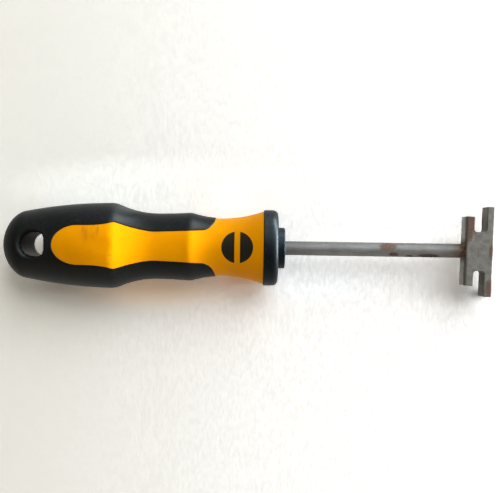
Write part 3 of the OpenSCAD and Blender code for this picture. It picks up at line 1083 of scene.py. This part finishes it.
# %% Floor
SHEET_GAP = 0.02
SHEET = 3.0
shape = np.concatenate([read_points(piece.data) for piece in (body, grip, collar, nose, rod, plate)])
shape = shape * MM + (along(0) * MM, 0, AXIS_HEIGHT * MM)
lowest = shape[np.argmin(shape[:, 2])]
ahead = shape[shape[:, 0] > lowest[0] + 20 * MM]
slope = ((ahead[:, 2] - lowest[2]) / (ahead[:, 0] - lowest[0])).min()
under = lowest[2] - SHEET_GAP * MM
floor_sides = ((-SHEET, -SHEET), (SHEET, -SHEET), (SHEET, SHEET), (-SHEET, SHEET))
floor_corners = [(x, y, under + slope * (x - lowest[0])) for x, y in floor_sides]
floor_mesh = bpy.data.meshes.new("floor")
floor_mesh.from_pydata(floor_corners, [], [(0, 1, 2, 3)])
floor = new_piece("floor", floor_mesh)
print("sheet tipped by", round(math.degrees(math.atan(slope)), 2), "degrees")

# %% White sheet
sheet = Finish("white_sheet", Roughness=0.9, Specular_IOR_Level=0.1)


def paint_light_and_shade(colour, blots):
    """Paints oval blots of light and shade over a colour, each with its centre, size, edge, share and tone.
    """
    for centre, size, edge, share, blot_tone in blots:
        colour = sheet.mix(sheet.times(sheet.spot(centre, size, edge), share), colour, blot_tone)
    return colour


tone = sheet.ease(sheet.noise(0.05, 4.0), 0.3, 0.7)
paper = sheet.mix(tone, shade(0.89, 0.89, 0.88), shade(0.91, 0.91, 0.905))
path = sheet.add("LightPath", {})
mirrored = sheet.times(path["Is Glossy Ray"], 0.3)
seen = sheet.math("MAXIMUM", path["Is Camera Ray"], mirrored)
seen = sheet.math("MAXIMUM", seen, path["Is Transmission Ray"])
white = sheet.mix(tone, shade(1.68, 1.69, 1.71), shade(1.72, 1.73, 1.75))
# painted falloff: away from the windows the sheet is painted less white and warmer
far_side = sheet.ease(sheet.parts(sheet.place)[0], -130, 90, 1.0, 0.0)
white = sheet.mix(far_side, white, shade(1.26, 1.26, 1.17))
# painted light on the sheet as the camera sees it
white = paint_light_and_shade(white, [
    # painted light behind the handle, where the handle shades the sheet
    ((-36, 26, 0), (88, 18, 20), 0.4, 0.8, shade(1.74, 1.76, 1.68)),
    # painted cooler light above the neck, against the warm light thrown off the yellow
    ((-8, 20, 2), (17, 12, 20), 0.1, 1.0, shade(1.60, 1.72, 1.80)),
    # painted light below the rod, lightening its shadow
    ((28, -14, 2), (52, 14, 20), 0.2, 0.8, shade(1.90, 2.02, 2.12)),
    # painted light beside the upper prongs, taking out the head's shadow
    ((92.3, 6.6, 3), (12, 5.6, 20), 0.1, 1.0, shade(2.45, 2.5, 2.5)),
])
weave = sheet.ease(sheet.noise(0.9, 3.0, 0.6, stretch=(1.0, 0.35, 1.0), shift=4), 0.3, 0.7, 0.0, 0.4)
white = sheet.mix(weave, white, shade(1.05, 1.05, 1.04))
# painted warm light, painted shade and painted light on the sheet
white = paint_light_and_shade(white, [
    # painted warm light below the handle
    ((-44, -19, 1), (46, 13, 20), 0.0, 0.8, shade(2.0, 1.55, 1.14)),
    # painted shade below and left of the head
    ((91, -17, 2), (34, 10, 20), 0.0, 0.45, shade(0.84, 0.84, 0.81)),
    # painted shade by the lower prongs
    ((97.6, -18.8, 2), (10, 6.4, 20), 0.0, 0.42, shade(0.5, 0.5, 0.485)),
    # painted shadow beside the lower long prong
    ((102.4, -19.0, 2), (5.6, 3.3, 20), 0.0, 0.72, shade(0.05, 0.05, 0.05)),
    # painted warm shade below the flare
    ((-3.0, -14.6, 1), (14, 3.6, 20), 0.0, 0.6, shade(0.93, 0.68, 0.43)),
    # painted shade by the tail
    ((-84, -19, 0), (20, 5, 20), 0.0, 0.6, shade(0.80, 0.76, 0.70)),
    # painted light on the sheet seen through the hanging hole
    ((-93, 0.6, 0), (5, 7.5, 20), 0.4, 1.0, shade(2.7, 2.75, 2.7)),
])
sheet.set(Base_Color=sheet.mix(seen, paper, white))
sheet.set(Normal=sheet.bump(sheet.noise(0.6, 4.0, 0.6), 0.05))
floor_mesh.materials.append(sheet.material)
print("white sheet:", len(sheet.tree.nodes), "nodes")

# %% [markdown]
# ## Light
#
# Four windows light the tool, all in the wall on the right. The high one stands further back, so the
# shadows fall towards the tail and the near side. The three low ones strike every slope that faces them, on
# the whole tool, on the grip, and on the collar and nose. Low light draws very long shadows on a sheet, and
# the photograph has none, so light linking keeps it on the tool. A dim room fills the rest, darkest
# overhead, warm on the near side, with a bright opening low on the far right.


# %% Windows
def add_window(name, place, size, level, colour, pieces=()):
    """A soft lamp that gives a surface facing it the stated level; it may light only some pieces."""
    lamp = bpy.data.lights.new(name, "AREA")
    lamp.shape = "RECTANGLE"
    lamp.size, lamp.size_y = size
    lamp.color = colour
    lamp.energy = level * math.pi**2 * Vector(place).length_squared
    window = bpy.data.objects.new(name, lamp)
    window.location = place
    window.rotation_euler = (-Vector(place)).to_track_quat("-Z", "Y").to_euler()
    window.visible_camera = False
    bpy.context.collection.objects.link(window)
    if pieces:
        lit = bpy.data.collections.new(name + "_lights")
        for piece in pieces:
            lit.objects.link(piece)
        window.light_linking.receiver_collection = lit
    print(name, "energy", round(lamp.energy, 1))


tool = (body, grip, collar, nose, rod, braze, plate)
add_window("high_window", (0.84, 1.36, 1.68), (1.9, 1.7), 0.62, (0.97, 0.99, 1.0))
add_window("low_window", (1.8, 0.16, 0.18), (1.3, 0.3), 4.0, (0.86, 0.94, 1.0), tool)
add_window("side_window", (1.4, 1.1, 0.36), (2.8, 0.9), 3.0, (0.9, 0.97, 1.0), (grip,))
add_window("front_window", (1.35, 0.95, 0.25), (2.8, 0.7), 9.0, (0.84, 0.95, 1.0), (collar, nose))

# %% Room
room = bpy.data.worlds.new("room")
room.use_nodes = True
NEAR_WALL = shade(0.86, 0.72, 0.56)
FAR_WALL = shade(0.44, 0.44, 0.43)
CEILING = shade(0.16, 0.156, 0.15)
OPENING = shade(3.3, 3.4, 3.5)
SEEN_WALL = shade(0.9, 0.9, 0.89)
OPENING_TOWARDS = (0.77, 0.64, 0.0)


def room_node(kind, inputs, **settings):
    return add_node(room.node_tree, "ShaderNode" + kind, inputs, **settings)


def room_ramp(value, low, high):
    return room_node("MapRange", {0: value, 1: low, 2: high})[0]


def room_mix(share, a, b):
    return room_node("Mix", {0: share, 6: a, 7: b}, data_type="RGBA")[2]


look = room_node("TexCoord", {})["Generated"]
_, look_y, look_z = room_node("SeparateXYZ", {0: look})
walls = room_mix(room_ramp(look_y, -0.7, 0.7), NEAR_WALL, FAR_WALL)
walls = room_mix(room_ramp(look_z, 0.0, 0.9), walls, CEILING)
towards = room_node("VectorMath", {0: look, 1: OPENING_TOWARDS}, operation="DOT_PRODUCT")["Value"]
sector = room_ramp(towards, 0.70, 0.82)
low = room_ramp(look_z, 0.42, 0.25)
opening = room_node("Math", {0: sector, 1: low}, operation="MULTIPLY")[0]
walls = room_mix(opening, walls, OPENING)
walls = room_mix(room_node("LightPath", {})["Is Camera Ray"], walls, SEEN_WALL)
fill(room.node_tree, room.node_tree.nodes["Background"], {"Color": walls})
print("room:", len(room.node_tree.nodes), "nodes")
bpy.context.scene.world = room
bpy.context.scene.view_settings.view_transform = "Standard"
